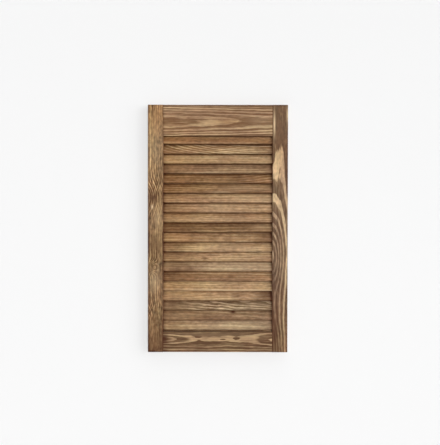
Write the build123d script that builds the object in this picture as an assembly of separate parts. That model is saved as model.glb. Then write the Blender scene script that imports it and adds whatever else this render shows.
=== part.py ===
from build123d import *
import os
from math import asin, cos, degrees, tan

# Louvred shutter of stained pine. Two rails are tenoned into two stiles, and fixed slats lean between
# the stiles, each end glued into a slanted blind mortise.
# Millimetres. +Z is up, the front faces -Y, and the origin is the middle of the bottom edge.

# Frame
shutter_width = 394.0
shutter_height = 697.0
frame_thickness = 20.0
stile_width = 43.5
top_rail_height = 88.0
bottom_rail_height = 57.0  # its front face, up to the shoulder under the lowest slat
arris_radius = 1.2  # sanded rounding along the grain

# Slats, with both long edges fully rounded
slat_width = 32.0  # the slats overlap, so no level line of sight passes between them
slat_thickness = 6.0
slat_spacing = 27.6  # wanted pitch; the slats then share the opening evenly
slat_recess = 1.5  # from either face of the frame to the nearest edge of a slat
sill_gap = 5.0  # under the lowest slat

# Slat mortises, routed with a round cutter to the section of a slat
mortise_depth = 8.0
mortise_clearance = 0.1
slat_end_gap = 0.5  # glue room between a slat's end and the floor of its mortise

# Rebates that let the rails overlap the first and the last slat
rebate_clearance = 2.0
tongue_overlap = 8.0  # how far the bottom rail's tongue stands up behind the lowest slat

# Blind tenons on the ends of the rails
tenon_thickness = 7.0
tenon_length = 28.0
tenon_shoulder = 14.0  # from a tenon's edge to the end of the stile
tenon_set_back = 9.0  # from a tenon's edge to the rebate side of its rail
tenon_clearance = 0.1
tenon_end_gap = 1.0

# Places that follow from the sizes
half_width = shutter_width / 2
half_thickness = frame_thickness / 2
stile_inside = half_width - stile_width
opening_width = 2 * stile_inside
opening_top = shutter_height - top_rail_height
opening_height = opening_top - bottom_rail_height
slat_count = round(opening_height / slat_spacing)
slat_pitch = opening_height / slat_count

# A slat leans back at the top as far as the thickness of the frame allows
slat_core = (slat_width - slat_thickness) / 2  # from its middle to the centre of a rounded edge
lean = asin((half_thickness - slat_recess - slat_thickness / 2) / slat_core)
slat_half_height = slat_core * cos(lean) + slat_thickness / 2
slat_length = opening_width + 2 * (mortise_depth - slat_end_gap)
lowest_slat = bottom_rail_height + sill_gap + slat_half_height
slat_heights = [lowest_slat + slat_pitch * step for step in reversed(range(slat_count))]
highest_slat = slat_heights[0]

rebate_top = highest_slat + slat_half_height + rebate_clearance
tongue_top = lowest_slat - slat_half_height + tongue_overlap
bottom_tenon = (tenon_shoulder, bottom_rail_height - tenon_set_back)  # heights of its two edges
top_tenon = (rebate_top + tenon_set_back, shutter_height - tenon_shoulder)


def slat_section(height, clearance=0):
    """A slat's section in the YZ plane: a round-ended bar that leans back, grown by a clearance."""
    bar = SlotOverall(
        slat_width + 2 * clearance,
        slat_thickness + 2 * clearance,
        rotation=90 - degrees(lean),
    )
    return Plane.YZ * Pos(0, height) * bar


def slat_face(height, slat_height, side):
    """Where the front (-1) or back (+1) face of a slat lies in Y at a given height."""
    return (height - slat_height) * tan(lean) + side * slat_thickness / (2 * cos(lean))


def slat(height):
    return extrude(slat_section(height), slat_length / 2, both=True)


def tenon_bar(bottom, top, clearance=0, end_gap=0):
    """Both tenons of a rail as one bar from end to end, grown by a clearance and lengthened by a gap."""
    return Pos(0, 0, (bottom + top) / 2) * Box(
        2 * (stile_inside + tenon_length + end_gap),
        tenon_thickness + 2 * clearance,
        top - bottom + 2 * clearance,
    )


def right_stile():
    blank = Pos(stile_inside, 0, 0) * Box(
        stile_width,
        frame_thickness,
        shutter_height,
        align=(Align.MIN, Align.CENTER, Align.MIN),
    )
    blank = fillet(blank.edges().filter_by(Axis.Z), arris_radius)
    mortise_mouths = Pos(stile_inside, 0, 0) * Sketch(
        [slat_section(height, mortise_clearance) for height in slat_heights]
    )
    blank -= extrude(mortise_mouths, mortise_depth)
    for tenon in (bottom_tenon, top_tenon):
        blank -= tenon_bar(*tenon, tenon_clearance, tenon_end_gap)
    return blank


def rail(outline, inner_corner, tenon):
    """A rail milled to an outline in the YZ plane, with every arris but the rebate's inner corner eased."""
    section = Plane.YZ * make_face(Polyline(*outline, close=True))
    eased = section.vertices().sort_by_distance(Vector(0, *inner_corner))[1:]
    return extrude(fillet(eased, arris_radius), stile_inside, both=True) + tenon_bar(*tenon)


def top_rail():
    """The rail's front lip hangs in front of the highest slat, which stands in the rebate behind it."""
    lip_back = slat_face(opening_top, highest_slat, -1) - rebate_clearance
    outline = [
        (-half_thickness, opening_top),
        (-half_thickness, shutter_height),
        (half_thickness, shutter_height),
        (half_thickness, rebate_top),
        (lip_back, rebate_top),
        (lip_back, opening_top),
    ]
    return rail(outline, (lip_back, rebate_top), top_tenon)


def bottom_rail():
    """The rail's back tongue stands up behind the lowest slat and closes the view under it."""
    tongue_front = slat_face(tongue_top, lowest_slat, 1) + rebate_clearance
    outline = [
        (-half_thickness, 0),
        (half_thickness, 0),
        (half_thickness, tongue_top),
        (tongue_front, tongue_top),
        (tongue_front, bottom_rail_height),
        (-half_thickness, bottom_rail_height),
    ]
    return rail(outline, (tongue_front, bottom_rail_height), bottom_tenon)


stile = right_stile()
pieces = {
    "stile_left": mirror(stile, Plane.YZ),
    "stile_right": stile,
    "rail_top": top_rail(),
    "rail_bottom": bottom_rail(),
}
for number, height in enumerate(slat_heights, start=1):
    pieces[f"slat_{number:02d}"] = slat(height)

os.makedirs("parts", exist_ok=True)
for name, piece in pieces.items():
    export_step(piece, f"parts/{name}.step")
print(f"{slat_count} slats at {slat_pitch:.2f} mm pitch, leaning {degrees(lean):.1f} degrees from upright")
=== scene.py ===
from math import atan2, cos, hypot, pi, radians, sin, tan

import bpy
from mathutils import Euler, Matrix, Vector


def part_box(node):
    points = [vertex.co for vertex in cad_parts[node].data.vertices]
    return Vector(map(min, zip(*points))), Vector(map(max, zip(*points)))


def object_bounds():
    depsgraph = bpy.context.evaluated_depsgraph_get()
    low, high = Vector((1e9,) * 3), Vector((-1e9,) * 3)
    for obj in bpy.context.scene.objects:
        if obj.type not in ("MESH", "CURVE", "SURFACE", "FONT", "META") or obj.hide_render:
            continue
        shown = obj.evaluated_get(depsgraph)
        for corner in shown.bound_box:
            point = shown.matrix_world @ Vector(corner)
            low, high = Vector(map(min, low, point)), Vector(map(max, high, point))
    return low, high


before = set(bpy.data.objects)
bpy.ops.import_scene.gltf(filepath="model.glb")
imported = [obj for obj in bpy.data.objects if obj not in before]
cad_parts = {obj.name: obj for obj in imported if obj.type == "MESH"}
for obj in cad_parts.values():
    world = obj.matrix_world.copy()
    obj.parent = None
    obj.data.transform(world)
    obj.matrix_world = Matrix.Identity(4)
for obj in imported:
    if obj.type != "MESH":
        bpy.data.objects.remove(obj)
cad_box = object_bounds()

# Stiles
# The two uprights are flat-sawn pine, brushed and stained brown. The stain sinks into the soft early wood
# of each growth ring and hardly marks the hard late wood, so the rings show pale on brown.


def srgb(red, green, blue):
    """A colour as it is seen, 0 to 255 a channel, in the linear values that a shader takes."""
    seen = [channel / 255 for channel in (red, green, blue)]
    linear = [c / 12.92 if c <= 0.04045 else ((c + 0.055) / 1.055) ** 2.4 for c in seen]
    return (*linear, 1.0)


def add_node(tree, kind, inputs=None, **settings):
    """Adds a node, applies its settings, and feeds each input a plain value or another node's output."""
    node = tree.nodes.new(kind)
    for name, value in settings.items():
        setattr(node, name, value)
    for socket, value in (inputs or {}).items():
        if isinstance(value, bpy.types.NodeSocket):
            tree.links.new(value, node.inputs[socket])
        else:
            node.inputs[socket].default_value = value
    return node


def calc(tree, operation, *terms):
    """One step of arithmetic."""
    return add_node(tree, "ShaderNodeMath", dict(enumerate(terms)), operation=operation).outputs[0]


def vector_calc(tree, operation, *terms):
    """One step of vector arithmetic, which gives a number for a dot product or a length."""
    node = add_node(tree, "ShaderNodeVectorMath", dict(enumerate(terms)), operation=operation)
    return node.outputs["Value" if operation in ("DOT_PRODUCT", "LENGTH") else "Vector"]


def ramp(tree, value, start, end, low=0.0, high=1.0):
    """Eases from low to high while the value goes from start to end."""
    inputs = {"Value": value, "From Min": start, "From Max": end, "To Min": low, "To Max": high}
    return add_node(tree, "ShaderNodeMapRange", inputs, interpolation_type="SMOOTHSTEP").outputs["Result"]


def grain_noise(tree, board, seed, along, across, detail):
    """Noise drawn out along the grain, with so many features per metre along it and across it."""
    pitch = add_node(tree, "ShaderNodeCombineXYZ", {"X": along, "Y": across, "Z": across}).outputs[0]
    stretched = vector_calc(tree, "MULTIPLY", board, pitch)
    inputs = {"Vector": stretched, "W": seed, "Scale": 1.0, "Detail": detail}
    return add_node(tree, "ShaderNodeTexNoise", inputs, noise_dimensions="4D").outputs["Fac"]


def blend(tree, factor, first, second, mode="MIX"):
    """Two colours mixed, through the sockets that a mix node keeps for colours."""
    inputs = {0: factor, 6: first, 7: second}
    return add_node(tree, "ShaderNodeMix", inputs, data_type="RGBA", blend_type=mode).outputs[2]


def new_group(name, inputs, outputs):
    """An empty node group with the given sockets, then what comes in and where the results go."""
    group = bpy.data.node_groups.new(name, "ShaderNodeTree")
    for direction, sockets in (("INPUT", inputs), ("OUTPUT", outputs)):
        for socket, kind in sockets.items():
            group.interface.new_socket(socket, in_out=direction, socket_type=f"NodeSocket{kind}")
    return group, group.nodes.new("NodeGroupInput").outputs, group.nodes.new("NodeGroupOutput").inputs


def bell_group():
    """A bell-shaped place on a board, where its rings swell or its colour changes.

    amount = height * exp(-|(board - centre) / reach| squared)
    """
    sockets = {"Board": "Vector", "Centre": "Vector", "Reach": "Vector", "Height": "Float"}
    group, given, result = new_group("bell", sockets, {"Amount": "Float"})
    offset = vector_calc(group, "SUBTRACT", given["Board"], given["Centre"])
    offset = vector_calc(group, "DIVIDE", offset, given["Reach"])
    squared = vector_calc(group, "DOT_PRODUCT", offset, offset)
    share = calc(group, "EXPONENT", calc(group, "MULTIPLY", squared, -1.0))
    group.links.new(calc(group, "MULTIPLY", share, given["Height"]), result["Amount"])
    return group


def growth_rings_group():
    """The growth rings that a board shows, from its place in the log.

    radius = length of (across - pith across, depth + pith depth + lean * along + swell), made to waver
    Each ring is early wood that turns into late wood and stops at a sharp line. The late share is the late
    wood's part of the ring, and the onset is the part of the late wood that the change takes.
    """
    numbers = ("Pith across", "Pith depth", "Lean", "Swell", "Ring width", "Waver", "Curl")
    numbers += ("Late share", "Onset", "Seed")
    sockets = {"Board": "Vector"} | {number: "Float" for number in numbers}
    results = {"Late wood": "Float", "Ring": "Float", "Grain": "Vector"}
    group, given, result = new_group("growth rings", sockets, results)
    board = add_node(group, "ShaderNodeSeparateXYZ", {0: given["Board"]}).outputs
    across = calc(group, "SUBTRACT", board["Y"], given["Pith across"])
    depth = calc(group, "MULTIPLY_ADD", board["X"], given["Lean"], board["Z"])
    depth = calc(group, "ADD", depth, given["Pith depth"])
    depth = calc(group, "ADD", depth, given["Swell"])
    section = add_node(group, "ShaderNodeCombineXYZ", {"X": across, "Y": depth}).outputs[0]
    radius = vector_calc(group, "LENGTH", section)
    waver = grain_noise(group, given["Board"], given["Seed"], given["Curl"], 60.0, 3.0)
    waver = calc(group, "MULTIPLY", calc(group, "SUBTRACT", waver, 0.5), given["Waver"])
    radius = calc(group, "ADD", radius, waver)
    shift = add_node(group, "ShaderNodeCombineXYZ", {"Y": waver}).outputs[0]
    group.links.new(vector_calc(group, "ADD", given["Board"], shift), result["Grain"])
    count = calc(group, "DIVIDE", radius, given["Ring width"])
    ring = calc(group, "FLOOR", count)
    part = calc(group, "FRACT", count)
    early = calc(group, "SUBTRACT", 1.0, given["Late share"])
    full = calc(group, "MULTIPLY_ADD", given["Late share"], given["Onset"], early)
    late = ramp(group, part, early, full)
    chance = add_node(group, "ShaderNodeTexWhiteNoise", {"W": calc(group, "ADD", ring, given["Seed"])},
                      noise_dimensions="1D").outputs["Value"]
    faintest = 0.5  # late wood in the faintest ring, against 1 in the strongest
    late = calc(group, "MULTIPLY", late, ramp(group, chance, 0.0, 1.0, faintest, 1.0))
    early_rise = 0.25  # how far early wood turns into late wood on its way through the ring
    late = calc(group, "MAXIMUM", late, calc(group, "MULTIPLY", part, early_rise))
    stop = 0.94  # the part of the ring where its late wood begins to stop
    late = calc(group, "MULTIPLY", late, ramp(group, part, stop, 1.0, 1.0, 0.0))
    group.links.new(late, result["Late wood"])
    group.links.new(chance, result["Ring"])
    return group


def arris_group():
    """Where the edges of a board are: near two faces of its box at once, in a width that varies."""
    sockets = {"Board": "Vector", "Low": "Vector", "High": "Vector", "Width": "Float", "Seed": "Float"}
    group, given, result = new_group("arris", sockets, {"Arris": "Float"})
    above = vector_calc(group, "SUBTRACT", given["Board"], given["Low"])
    below = vector_calc(group, "SUBTRACT", given["High"], given["Board"])
    nearest = vector_calc(group, "MINIMUM", above, below)
    gaps = add_node(group, "ShaderNodeSeparateXYZ", {0: nearest}).outputs
    smaller = calc(group, "MINIMUM", gaps["Y"], gaps["Z"])
    larger = calc(group, "MAXIMUM", gaps["Y"], gaps["Z"])
    second = calc(group, "MAXIMUM", smaller, calc(group, "MINIMUM", larger, gaps["X"]))
    patches = grain_noise(group, given["Board"], given["Seed"], 25.0, 60.0, 1.0)
    narrowest = 0.3  # shares of the given width
    widest = 1.6
    share = ramp(group, patches, 0.35, 0.75, narrowest, widest)
    reach = calc(group, "MULTIPLY", given["Width"], share)
    near = calc(group, "SUBTRACT", 1.0, calc(group, "DIVIDE", second, reach))
    group.links.new(calc(group, "MAXIMUM", near, 0.0), result["Arris"])
    return group


def stained_pine_group():
    """Brown stain on pine: dark early wood and pale late wood, with streaks, flecks, blotches and knots.

    Calm places lose their figure, amber ones turn warmer, and bare ones show the wood without stain.
    Amber is a stain on the stiles and rails and painted warm light on the slats. Dark places are knots,
    gathered stain and painted shade.
    """
    sockets = {"Board": "Vector", "Grain": "Vector", "Late wood": "Float", "Ring": "Float"}
    sockets |= {"Calm": "Float", "Amber": "Float", "Bare": "Float", "Knot and shade": "Float"}
    sockets |= {"Stain": "Color", "Pale": "Color", "Blotches": "Float", "Seed": "Float"}
    sockets |= {"Streaks": "Float", "Streak pitch": "Float"}
    results = {"Color": "Color", "Roughness": "Float", "Height": "Float"}
    group, given, result = new_group("stained pine", sockets, results)
    board, grain, seed = given["Board"], given["Grain"], given["Seed"]

    def uneven(place, along, across, detail):
        """Noise along the grain that goes about as far below zero as above it."""
        return calc(group, "SUBTRACT", grain_noise(group, place, seed, along, across, detail), 0.5)

    fibres = uneven(grain, 50.0, 700.0, 3.0)
    pitch = given["Streak pitch"]
    short_pitch = calc(group, "MULTIPLY", pitch, 3.0)
    streaks = calc(group, "ADD", uneven(grain, pitch, 210.0, 4.0), uneven(grain, short_pitch, 260.0, 3.0))
    ring_tint = 0.15  # how far the palest ring differs from the darkest
    tint = calc(group, "MULTIPLY", calc(group, "SUBTRACT", given["Ring"], 0.5), ring_tint)
    least_late = 0.6  # how strongly the late wood shows where it shows least and most
    most_late = 1.15
    taken = ramp(group, uneven(board, 9.0, 30.0, 2.0), -0.2, 0.2, least_late, most_late)
    late = calc(group, "MULTIPLY", given["Late wood"], taken)
    calm_tone = 0.45  # between stained and pale
    late = calc(group, "MULTIPLY_ADD", given["Calm"], calc(group, "SUBTRACT", calm_tone, late), late)
    calm_streaks = 0.3  # what a calm place keeps of its streaks
    kept = ramp(group, given["Calm"], 0.0, 1.0, 1.0, calm_streaks)
    strength = calc(group, "MULTIPLY", given["Streaks"], kept)
    late = calc(group, "ADD", late, calc(group, "MULTIPLY_ADD", streaks, strength, tint))
    color = blend(group, late, given["Stain"], given["Pale"])
    fibre_shade = 0.9  # how strongly the fibres darken and lighten the colour
    shade = calc(group, "MULTIPLY_ADD", fibres, fibre_shade, 1.0)
    blotches = calc(group, "ADD", uneven(board, 11.0, 38.0, 3.0), uneven(board, 75.0, 150.0, 2.0))
    shade = calc(group, "MULTIPLY_ADD", blotches, given["Blotches"], shade)
    color = blend(group, 1.0, color, shade, "MULTIPLY")
    redder = (1.05, 0.98, 0.96, 1.0)
    greener = (0.97, 1.01, 0.93, 1.0)
    drift = ramp(group, uneven(board, 8.0, 30.0, 2.0), -0.2, 0.2)
    color = blend(group, 1.0, color, blend(group, drift, redder, greener), "MULTIPLY")
    # On the stiles and rails this is amber stain; on the slats it is painted warm light.
    amber_stain_and_warm_light = (1.0, 0.92, 0.78, 1.0)
    color = blend(group, given["Amber"], color, amber_stain_and_warm_light, "MULTIPLY")
    dark_knot_stain_and_shade = srgb(72, 35, 9)
    color = blend(group, given["Knot and shade"], color, dark_knot_stain_and_shade)
    bare_wood = srgb(226, 196, 154)
    color = blend(group, given["Bare"], color, bare_wood)
    group.links.new(color, result["Color"])
    early_roughness = 0.62
    late_gloss = 0.12  # how much smoother the late wood is
    fibre_roughness = 0.2
    rough = calc(group, "MULTIPLY_ADD", given["Late wood"], -late_gloss, early_roughness)
    rough = calc(group, "MULTIPLY_ADD", fibres, fibre_roughness, rough)
    group.links.new(rough, result["Roughness"])
    fibre_height = 0.6  # against the late wood's height of 1
    height = calc(group, "MULTIPLY_ADD", fibres, fibre_height, given["Late wood"])
    group.links.new(calc(group, "SUBTRACT", height, given["Knot and shade"]), result["Height"])
    return group


bell = bell_group()
growth_rings = growth_rings_group()
arris = arris_group()
stained_pine = stained_pine_group()
bell_depth = 0.08  # how deep a bell reaches into a board
endless = 1.0  # a reach past the ends or the edges of any board
arris_width = 0.005
relief = 0.00025  # how far the brushed late wood stands above the early wood
satin = 0.2  # specular level of the waxed surface


def board_material(name, origin, axes, half, rings, look, edge_stain_and_shade=0.4,
                   swellings=(), calm=(), amber=(), knots_and_shade=(), bare=()):
    """Stained pine for one board, from its own frame: along the grain, across its face, into its depth.

    A swelling of the rings, a calm or an amber place, a dark knot or a band of painted shade, or a bare spot
    is a bell, given as (centre, reach, height) with its centre and reach along and across that frame. Along
    the arrises the stain gathers, with painted shade of the rounded edges, and darkens the wood by the edge
    share.
    """
    material = bpy.data.materials.new(name)
    material.use_nodes = True
    tree = material.node_tree
    turn = Matrix(axes).transposed().to_euler()
    place = add_node(tree, "ShaderNodeTexCoord").outputs["Object"]
    inputs = {"Vector": place, "Location": origin, "Rotation": turn}
    board = add_node(tree, "ShaderNodeMapping", inputs, vector_type="TEXTURE").outputs[0]

    def total(bells, start=0.0):
        """All the bells of one kind, added to what is there without them."""
        amount = start
        for centre, reach, height in bells:
            inputs = {"Board": board, "Centre": (*centre, 0.0), "Reach": (*reach, bell_depth)}
            inputs |= {"Height": height}
            more = add_node(tree, "ShaderNodeGroup", inputs, node_tree=bell).outputs["Amount"]
            amount = calc(tree, "ADD", amount, more)
        return amount

    seed = rings["Seed"]
    inputs = {"Board": board, "Swell": total(swellings)} | rings
    figure = add_node(tree, "ShaderNodeGroup", inputs, node_tree=growth_rings).outputs
    low = (-half[0], -half[1], 0.0)
    high = (half[0], half[1], 2 * half[2])
    inputs = {"Board": board, "Low": low, "High": high, "Width": arris_width, "Seed": seed}
    edge = add_node(tree, "ShaderNodeGroup", inputs, node_tree=arris).outputs["Arris"]
    edge = calc(tree, "MULTIPLY", edge, edge_stain_and_shade)
    inputs = {"Board": board} | {socket: figure[socket] for socket in ("Grain", "Late wood", "Ring")}
    inputs |= {"Calm": total(calm), "Amber": total(amber), "Bare": total(bare), "Knot and shade": total(knots_and_shade, edge)}
    inputs |= {"Seed": seed} | look
    wood = add_node(tree, "ShaderNodeGroup", inputs, node_tree=stained_pine).outputs
    bump = add_node(tree, "ShaderNodeBump", {"Height": wood["Height"], "Distance": relief, "Strength": 1.0})
    surface = tree.nodes["Principled BSDF"]
    surface.inputs["Specular IOR Level"].default_value = satin
    tree.links.new(wood["Color"], surface.inputs["Base Color"])
    tree.links.new(wood["Roughness"], surface.inputs["Roughness"])
    tree.links.new(bump.outputs["Normal"], surface.inputs["Normal"])
    return material


def dress(node, material):
    """Gives a node of the frame its material."""
    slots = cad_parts[node].data.materials
    for number in range(len(slots)):
        slots[number] = material


def board_frame(node):
    """The middle of a node's front face and half its sizes in X, Y and Z."""
    low, high = (Vector(corner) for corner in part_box(node))
    middle = (low + high) / 2
    return Vector((middle.x, low.y, middle.z)), (high - low) / 2


upright = ((0, 0, 1), (1, 0, 0), (0, 1, 0))  # along Z, across X, into Y
origin, half = board_frame("stile_left")
dress("stile_left", board_material(
    "stained pine, left stile", origin, upright, (half.z, half.x, half.y),
    {"Pith across": -0.06, "Pith depth": 0.06, "Lean": 0.0, "Ring width": 0.0045, "Waver": 0.006,
     "Curl": 20.0, "Late share": 0.55, "Onset": 0.45, "Seed": 3.0},
    {"Stain": srgb(104, 72, 43), "Pale": srgb(215, 179, 131), "Streaks": 1.5, "Streak pitch": 19.0,
     "Blotches": 2.1},
    swellings=[((0.085, -0.005), (0.042, 0.06), -0.024), ((-0.109, -0.006), (0.016, 0.012), 0.022),
               ((-0.27, -0.02), (0.045, 0.02), -0.03)],
    calm=[((0.28, 0.0), (0.085, 0.06), 0.9), ((0.035, 0.004), (0.035, 0.03), 0.6),
          ((-0.04, 0.0), (0.035, 0.04), 0.9), ((-0.34, 0.0), (0.06, 0.05), 0.9)],
    amber=[((0.33, 0.0), (0.06, 0.06), 0.7)],
    # The last two bands, along the outer and the inner edge, are painted shade.
    knots_and_shade=[((0.087, -0.006), (0.02, 0.018), 0.75), ((-0.045, -0.006), (0.04, 0.035), 0.66),
           ((-0.109, -0.006), (0.007, 0.006), 0.6), ((-0.34, 0.0), (0.07, 0.06), 0.74),
           ((0.0, -0.0195), (endless, 0.004), 0.25), ((0.0, half.x), (endless, 0.0025), 0.5)],
    bare=[((0.0615, -0.0095), (0.0055, 0.0026), 1.0), ((-0.15, -0.002), (0.035, 0.016), 0.3),
          ((0.03, 0.006), (0.03, 0.012), 0.2), ((0.215, 0.0), (0.05, 0.02), 0.14)],
))
origin, half = board_frame("stile_right")
dress("stile_right", board_material(
    "stained pine, right stile", origin, upright, (half.z, half.x, half.y),
    {"Pith across": 0.004, "Pith depth": 0.1482, "Lean": 0.0, "Ring width": 0.007, "Waver": 0.0045,
     "Curl": 14.0, "Late share": 0.48, "Onset": 0.2, "Seed": 23.0},
    {"Stain": srgb(98, 71, 51), "Pale": srgb(206, 174, 139), "Streaks": 0.8, "Streak pitch": 12.0,
     "Blotches": 1.2},
    swellings=[((-0.0745, -0.03), (0.17, 0.045), -0.03), ((-0.0745, -0.03), (0.07, 0.03), -0.02),
               ((-0.3485, -0.04), (0.15, 0.04), -0.034), ((0.185, -0.001), (0.035, 0.016), -0.0019),
               ((0.15, 0.022), (0.07, 0.009), 0.0016), ((-0.36, -0.04), (0.09, 0.045), -0.02)],
    calm=[((-0.29, -0.015), (0.06, 0.007), 0.6)],
    amber=[((0.3, 0.0), (0.16, 0.06), 1.0), ((-0.34, 0.0), (0.1, 0.06), 0.7)],
    # The bands along the inner edge and at the top end are painted shade.
    knots_and_shade=[((0.0, -half.x), (endless, 0.0012), 0.45), ((-0.3, -0.014), (0.065, 0.01), 0.8),
           ((-0.24, 0.0), (0.16, 0.06), 0.15), ((0.175, 0.0195), (0.06, 0.0028), 0.5),
           ((half.z, 0.0), (0.004, endless), 0.5), ((0.205, -0.003), (0.025, 0.012), 0.12)],
    bare=[((-0.09, 0.0), (0.06, 0.03), 0.05), ((0.3, 0.004), (0.06, 0.03), 0.05),
          ((0.2946, -0.0165), (0.03, 0.0026), 0.95),
          ((0.32, 0.0195), (0.02, 0.0018), 0.7)],
))

# Rails
# The top and bottom rail are tenoned between the stiles, in the same stained pine with the grain across.
# Each was sawn square to a radius of its log, so its rings draw long pointed figures.
level = ((1, 0, 0), (0, 0, -1), (0, 1, 0))  # along X, across -Z, into Y
stile_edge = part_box("stile_right")[0][0]  # where the right stile's inner edge is
origin, half = board_frame("rail_top")
dress("rail_top", board_material(
    "stained pine, top rail", origin, level, (half.x, half.z, half.y),
    {"Pith across": 0.003, "Pith depth": 0.07722, "Lean": 0.0105, "Ring width": 0.0026, "Waver": 0.0026,
     "Curl": 14.0, "Late share": 0.6, "Onset": 0.45, "Seed": 5.0},
    {"Stain": srgb(117, 84, 56), "Pale": srgb(199, 166, 128), "Streaks": 1.1, "Streak pitch": 9.0,
     "Blotches": 0.6},
    # The first band, along the top edge, is painted shade.
    knots_and_shade=[((0.0, -half.z), (endless, 0.004), 0.3), ((-stile_edge, 0.0), (0.004, endless), 0.3),
           ((stile_edge, 0.0), (0.002, endless), 0.2), ((0.028, 0.0035), (0.045, 0.009), 0.12),
           ((0.13, 0.0165), (0.04, 0.008), 0.27), ((0.11, -0.036), (0.07, 0.014), 0.14)],
    amber=[((0.028, 0.0035), (0.045, 0.009), 1.0), ((-0.14, 0.02), (0.1, 0.03), 0.5)],
    bare=[((0.115, -0.002), (0.04, 0.009), 0.13), ((-0.1, -0.033), (0.07, 0.014), 0.07)],
))
origin, half = board_frame("rail_bottom")
dress("rail_bottom", board_material(
    "stained pine, bottom rail", origin, level, (half.x, half.z, half.y),
    {"Pith across": -0.002, "Pith depth": 0.08008, "Lean": 0.0, "Ring width": 0.0026, "Waver": 0.0026,
     "Curl": 14.0, "Late share": 0.5, "Onset": 0.45, "Seed": 2.0},
    {"Stain": srgb(92, 63, 40), "Pale": srgb(187, 154, 117), "Streaks": 1.2, "Streak pitch": 9.0,
     "Blotches": 0.6},
    swellings=[((-0.155, -0.002), (0.052, 0.011), -0.0039), ((0.155, -0.002), (0.046, 0.03), -0.0023),
               ((0.052, -0.002), (0.011, 0.0045), 0.0008), ((0.014, -0.001), (0.012, 0.0025), 0.0006),
               ((-0.055, -0.002), (0.012, 0.03), 0.00035)],
    knots_and_shade=[((-0.15, -0.002), (0.014, 0.012), 0.6), ((0.14, 0.012), (0.03, 0.006), 0.2),
           ((-stile_edge, 0.0), (0.012, endless), 0.45)],
    bare=[((-0.02, -0.0158), (0.13, 0.006), 0.1)],
))

# Slats
# Twenty thin pine slats with round edges, glued into the stiles. They come from offcuts of many boards,
# so each took the stain in its own way.
slat_thickness = 0.006
slat_low, slat_high = (Vector(corner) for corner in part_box("slat_01"))
slat_box = slat_high - slat_low
slat_lean = atan2(slat_box.y - slat_thickness, slat_box.z - slat_thickness)
slat_width = hypot(slat_box.y - slat_thickness, slat_box.z - slat_thickness) + slat_thickness
leaning = ((1, 0, 0), (0, -sin(slat_lean), -cos(slat_lean)), (0, cos(slat_lean), -sin(slat_lean)))
tones = {  # the stained early wood, the pale late wood, and streaks per metre along the grain
    "red": ((141, 104, 70), (172, 136, 100), 20.0),
    "dark red": ((119, 85, 53), (173, 139, 104), 16.0),
    "warm": ((137, 103, 71), (183, 150, 118), 20.0),
    "olive": ((111, 81, 52), (157, 125, 91), 20.0),
    "grey": ((129, 99, 72), (174, 143, 112), 20.0),
    "pale grey": ((155, 127, 98), (185, 159, 130), 24.0),
    "tan": ((150, 116, 82), (188, 156, 123), 22.0),
    "light tan": ((160, 127, 93), (196, 164, 131), 22.0),
    "golden": ((156, 124, 88), (203, 173, 139), 8.0),
    "pale gold": ((168, 136, 99), (206, 176, 141), 12.0),
    "striped": ((136, 103, 70), (217, 187, 151), 8.0),
    "dark striped": ((96, 71, 46), (196, 168, 138), 12.0),
}
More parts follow.
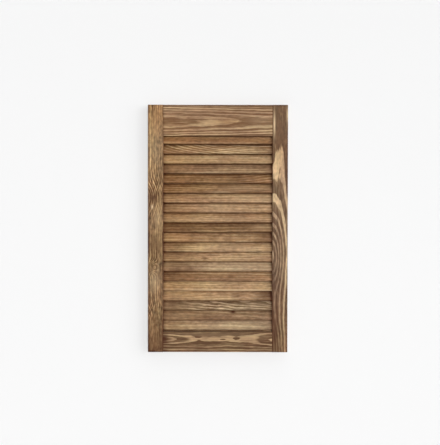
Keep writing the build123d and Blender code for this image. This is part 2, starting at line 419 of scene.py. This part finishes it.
slat_looks = [  # from the top: tone, what its rings have of their own, and its own places
    # 1 to 5
    ("red", {"Pith across": 0.03, "Lean": 0.01, "Ring width": 0.012},
     {"knots_and_shade": [((-0.0166, 0.004), (0.012, 0.01), 0.2), ((0.11, 0.0), (0.01, 0.01), 0.12)]}),
    ("striped", {"Pith across": -0.05, "Lean": -0.24, "Ring width": 0.0055, "Late share": 0.45,
                 "Waver": 0.003, "Onset": 0.25},
     {"knots_and_shade": [((-0.13, -0.006), (0.03, 0.012), 0.35), ((0.1, -0.012), (0.06, 0.004), 0.4)]}),
    ("golden", {"Pith across": 0.04, "Lean": 0.003, "Ring width": 0.0042, "Waver": 0.002}, {}),
    ("grey", {"Pith across": 0.03, "Lean": -0.01, "Ring width": 0.0045},
     {"knots_and_shade": [((-0.15, 0.0), (0.03, 0.02), 0.35), ((0.15, 0.0), (0.03, 0.02), 0.3)],
      "bare": [((-0.02, 0.0135), (0.05, 0.0015), 0.4)]}),
    ("dark red", {"Pith across": -0.04, "Ring width": 0.006, "Waver": 0.003},
     {"swellings": [((0.16, 0.0), (0.07, 0.05), 0.014)],
      "knots_and_shade": [((0.03, 0.008), (0.03, 0.004), 0.4), ((-0.15, 0.0), (0.03, 0.02), 0.2)]}),
    # 6 to 10
    ("dark red", {"Pith across": 0.04, "Lean": 0.02, "Ring width": 0.005, "Waver": 0.004},
     {"knots_and_shade": [((-0.14, 0.0), (0.04, 0.02), 0.15)],
      "bare": [((0.01, 0.0135), (0.035, 0.002), 0.35), ((0.08, 0.0), (0.08, 0.012), 0.18)]}),
    ("light tan", {"Pith across": -0.03, "Lean": 0.01, "Ring width": 0.006},
     {"knots_and_shade": [((-0.14, 0.0), (0.045, 0.03), 0.35)], "bare": [((0.1, 0.0), (0.06, 0.02), 0.1)]}),
    ("light tan", {"Pith across": 0.04, "Lean": 0.02, "Ring width": 0.007},
     {"knots_and_shade": [((-0.15, 0.0), (0.06, 0.03), 0.47), ((0.116, 0.0), (0.012, 0.006), 0.18)],
      "bare": [((0.0, 0.0), (0.06, 0.02), 0.15)]}),
    ("tan", {"Pith across": -0.04, "Lean": 0.03, "Ring width": 0.005, "Waver": 0.008},
     {"bare": [((0.0, 0.006), (0.13, 0.008), 0.15)]}),
    ("olive", {"Pith across": 0.03, "Lean": -0.01, "Ring width": 0.006, "Waver": 0.006},
     {"knots_and_shade": [((-0.13, 0.0), (0.06, 0.03), 0.25), ((0.0, -0.012), (0.1, 0.006), 0.25)],
      "bare": [((0.125, 0.0), (0.03, 0.008), 0.2)]}),
    # 11 to 15
    ("tan", {"Pith across": 0.03, "Lean": 0.02, "Ring width": 0.006, "Waver": 0.008},
     {"knots_and_shade": [((0.14, 0.0), (0.028, 0.02), 0.5), ((-0.012, 0.0), (0.013, 0.008), 0.35),
                ((0.033, 0.003), (0.012, 0.007), 0.35), ((0.07, -0.002), (0.013, 0.007), 0.35)]}),
    ("golden", {"Pith across": 0.04, "Lean": 0.005, "Ring width": 0.0045, "Waver": 0.002},
     {"knots_and_shade": [((-0.14, 0.0), (0.055, 0.03), 0.45)], "bare": [((0.03, 0.0), (0.06, 0.02), 0.15)]}),
    ("light tan", {"Pith across": -0.03, "Lean": 0.02, "Ring width": 0.005, "Waver": 0.005},
     {"swellings": [((-0.0373, 0.008), (0.012, 0.008), 0.008)],
      "knots_and_shade": [((-0.0373, 0.008), (0.008, 0.005), 0.5), ((-0.12, 0.0), (0.06, 0.03), 0.4)]}),
    ("pale grey", {"Pith across": 0.03, "Lean": 0.01, "Ring width": 0.0055},
     {"knots_and_shade": [((-0.12, 0.0), (0.045, 0.03), 0.45), ((-0.078, 0.006), (0.01, 0.01), 0.3)],
      "bare": [((0.05, 0.0), (0.08, 0.02), 0.12)]}),
    ("warm", {"Pith across": -0.03, "Lean": -0.01, "Ring width": 0.005},
     {"knots_and_shade": [((-0.13, 0.0), (0.06, 0.03), 0.45), ((0.04, 0.005), (0.012, 0.006), 0.4)]}),
    # 16 to 20
    ("pale gold", {"Pith across": 0.04, "Lean": 0.01, "Ring width": 0.006},
     {"knots_and_shade": [((-0.14, 0.0), (0.04, 0.03), 0.2)], "bare": [((0.05, 0.0145), (0.15, 0.0018), 0.6)]}),
    ("light tan", {"Pith across": -0.02, "Lean": 0.02, "Ring width": 0.005, "Waver": 0.006},
     {"swellings": [((0.075, 0.0), (0.025, 0.012), 0.005)],
      "knots_and_shade": [((0.14, 0.0), (0.035, 0.02), 0.7), ((0.056, 0.001), (0.015, 0.009), 0.35)],
      "bare": [((-0.12, 0.0), (0.05, 0.02), 0.08)]}),
    ("dark striped", {"Pith across": -0.015, "Lean": -0.06, "Ring width": 0.0046, "Waver": 0.009,
                      "Onset": 0.25},
     {"calm": [((-0.13, 0.0), (0.07, 0.03), 0.9)], "knots_and_shade": [((-0.13, 0.0), (0.05, 0.03), 0.45)],
      "bare": [((0.11, 0.0), (0.06, 0.02), 0.12)]}),
    ("grey", {"Pith across": 0.02, "Lean": 0.02, "Ring width": 0.006, "Waver": 0.008},
     {"knots_and_shade": [((-0.0375, 0.002), (0.014, 0.01), 0.4), ((0.0436, -0.007), (0.009, 0.0045), 1.0),
                ((0.0324, 0.005), (0.01, 0.004), 0.35), ((-0.15, 0.0), (0.04, 0.03), 0.2)],
      "bare": [((-0.11, 0.004), (0.05, 0.01), 0.1)]}),
    ("pale grey", {"Pith across": -0.03, "Lean": -0.01, "Ring width": 0.008, "Waver": 0.008},
     {"knots_and_shade": [((-0.14, 0.0), (0.05, 0.03), 0.15)], "bare": [((0.08, 0.0), (0.12, 0.02), 0.1)]}),
]
# Painted shade along a slat's upper edge, under the next slat, and along its lower edge, and painted shade
# with some gathered stain in both corners at the stiles.
painted_slat_shade = [
    ((0.0, -slat_width / 2), (endless, 0.0054), 1.0),
    ((0.0, slat_width / 2), (endless, 0.0022), 0.45),
    ((-stile_edge, 0.0), (0.006, endless), 0.4),
    ((stile_edge, 0.0), (0.006, endless), 0.6),
]
# Painted warm light: the slats turn warmer and a little darker towards the left stile.
painted_warm_light_left = [((-0.17, 0.0), (0.12, endless), 1.0)]  # all slats are warmer towards the left stile
slat_half = (slat_box.x / 2, slat_width / 2, slat_thickness / 2)
to_front_face = Vector(leaning[2]) * (-slat_thickness / 2)
first_seed = 11.0
for number, (tone, figure, places) in enumerate(slat_looks):
    node = f"slat_{number + 1:02d}"
    low, high = (Vector(corner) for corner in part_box(node))
    stain, pale, streak_pitch = tones[tone]
    rings = {"Pith depth": 0.03, "Lean": 0.0, "Waver": 0.005, "Curl": 16.0, "Late share": 0.5,
             "Onset": 0.45, "Seed": first_seed + number}
    look = {"Stain": srgb(*stain), "Pale": srgb(*pale), "Streaks": 1.2, "Streak pitch": streak_pitch,
            "Blotches": 1.3}
    places = places | {"knots_and_shade": places.get("knots_and_shade", []) + painted_slat_shade}
    dress(node, board_material(
        f"stained pine, {node}", (low + high) / 2 + to_front_face, leaning, slat_half,
        rings | figure, look, edge_stain_and_shade=0.0, amber=painted_warm_light_left, **places,
    ))

# Stage
# A plain pale wall close behind the shutter takes its soft shadow, and a pale floor lies below. Neither
# stops any light. The wall shows only to the camera, and only from its front, so it hides no other side.
backdrop_white = 0.75
wall_gap = 0.004
wall_light = 0.21
floor_drop = 0.4
floor_light = 0.6
half_stage = 3.0


def flat_sheet(name, corners, own_light, seen_from_front_only=False):
    """A large pale plane for the stage, which its own light makes brighter to the camera alone."""
    mesh = bpy.data.meshes.new(name)
    mesh.from_pydata(corners, [], [(0, 1, 2, 3)])
    sheet = bpy.data.objects.new(name, mesh)
    bpy.context.scene.collection.objects.link(sheet)
    material = bpy.data.materials.new(name)
    material.use_nodes = True
    tree = material.node_tree
    surface = tree.nodes["Principled BSDF"]
    surface.inputs["Base Color"].default_value = (backdrop_white, backdrop_white, backdrop_white, 1.0)
    surface.inputs["Roughness"].default_value = 1.0
    surface.inputs["Specular IOR Level"].default_value = 0.0
    surface.inputs["Emission Color"].default_value = (1.0, 1.0, 1.0, 1.0)
    seen = add_node(tree, "ShaderNodeLightPath").outputs["Is Camera Ray"]
    tree.links.new(calc(tree, "MULTIPLY", seen, own_light), surface.inputs["Emission Strength"])
    if seen_from_front_only:
        back = add_node(tree, "ShaderNodeNewGeometry").outputs["Backfacing"]
        clear = add_node(tree, "ShaderNodeBsdfTransparent").outputs[0]
        either = add_node(tree, "ShaderNodeMixShader", {0: back, 1: surface.outputs[0], 2: clear})
        tree.links.new(either.outputs[0], tree.nodes["Material Output"].inputs["Surface"])
        for ray in ("diffuse", "glossy", "transmission", "volume_scatter"):
            setattr(sheet, f"visible_{ray}", False)
    mesh.materials.append(material)
    sheet.visible_shadow = False


square = [(a * half_stage, b * half_stage) for a, b in ((-1, -1), (1, -1), (1, 1), (-1, 1))]
wall_y = cad_box[1][1] + wall_gap
floor_z = cad_box[0][2] - floor_drop
flat_sheet("backdrop", [(x, wall_y, z) for x, z in square], wall_light, seen_from_front_only=True)
flat_sheet("floor", [(x, y, floor_z) for x, y in square], floor_light)

# Light
# Soft light from the front, from a skylight above and from a window on the right, with a dim glow in front.
# A fill from behind and below shows the back and is stopped by the slats. The sky itself looks almost white.
front_glow = 0.05
sky_white = 0.93
world = bpy.data.worlds.new("studio")
world.use_nodes = True
bpy.context.scene.world = world
tree = world.node_tree
rays = add_node(tree, "ShaderNodeLightPath").outputs
direct = calc(tree, "MAXIMUM", rays["Is Camera Ray"], rays["Is Transmission Ray"])
direct = calc(tree, "MAXIMUM", direct, rays["Is Glossy Ray"])
outward = add_node(tree, "ShaderNodeTexCoord").outputs["Generated"]
backward = add_node(tree, "ShaderNodeSeparateXYZ", {0: outward}).outputs["Y"]
glow = ramp(tree, backward, 0.1, -0.5, 0.0, front_glow)
white = calc(tree, "MULTIPLY", direct, sky_white)
background = tree.nodes["Background"]
background.inputs["Color"].default_value = (1.0, 1.0, 1.0, 1.0)
tree.links.new(calc(tree, "MAXIMUM", glow, white), background.inputs["Strength"])


def soft_lamp(name, direction, strength, spread):
    """A broad even light that shines in a direction, with the strength it has on a surface square to it."""
    light = bpy.data.lights.new(name, "SUN")
    light.energy = strength
    light.angle = radians(spread)
    lamp = bpy.data.objects.new(name, light)
    lamp.rotation_euler = Vector(direction).to_track_quat("-Z", "Y").to_euler()
    bpy.context.scene.collection.objects.link(lamp)


soft_lamp("front light", (-0.12, 1.0, -0.14), 1.9, 20)
soft_lamp("sky light", (-0.1, 0.3, -0.95), 0.8, 50)
soft_lamp("window light", (-0.85, 0.5, -0.15), 1.1, 45)
soft_lamp("back fill", (0.15, -0.85, 0.5), 1.9, 40)

# Camera
# It stands square in front of the shutter at about half its height, and tips down a touch.
image_width = 440  # pixels
image_height = 445
shutter_pixels = (147.87, 105.1, 287.77, 352.55)  # left, top, right and bottom edge in the photograph
camera_distance = 1.6  # from the front face
camera_tip = radians(0.8)
camera_roll = radians(-0.09)
shutter = Vector(cad_box[1]) - Vector(cad_box[0])
pixel = shutter.z / (shutter_pixels[3] - shutter_pixels[1])
left_of_middle = (image_width - shutter_pixels[0] - shutter_pixels[2]) / 2 * pixel
below_middle = ((shutter_pixels[1] + shutter_pixels[3]) - image_height) / 2 * pixel
aim_z = (cad_box[0][2] + cad_box[1][2]) / 2 + below_middle
lens = bpy.data.cameras.new("camera")
lens.sensor_fit = "HORIZONTAL"
lens.lens = lens.sensor_width * camera_distance / (image_width * pixel)
camera = bpy.data.objects.new("camera", lens)
camera.location = (left_of_middle, cad_box[0][1] - camera_distance, aim_z + camera_distance * tan(camera_tip))
camera.rotation_euler = Euler((pi / 2 - camera_tip, camera_roll, 0.0))
bpy.context.scene.collection.objects.link(camera)
bpy.context.scene.camera = camera
bpy.context.scene.view_settings.view_transform = "Standard"
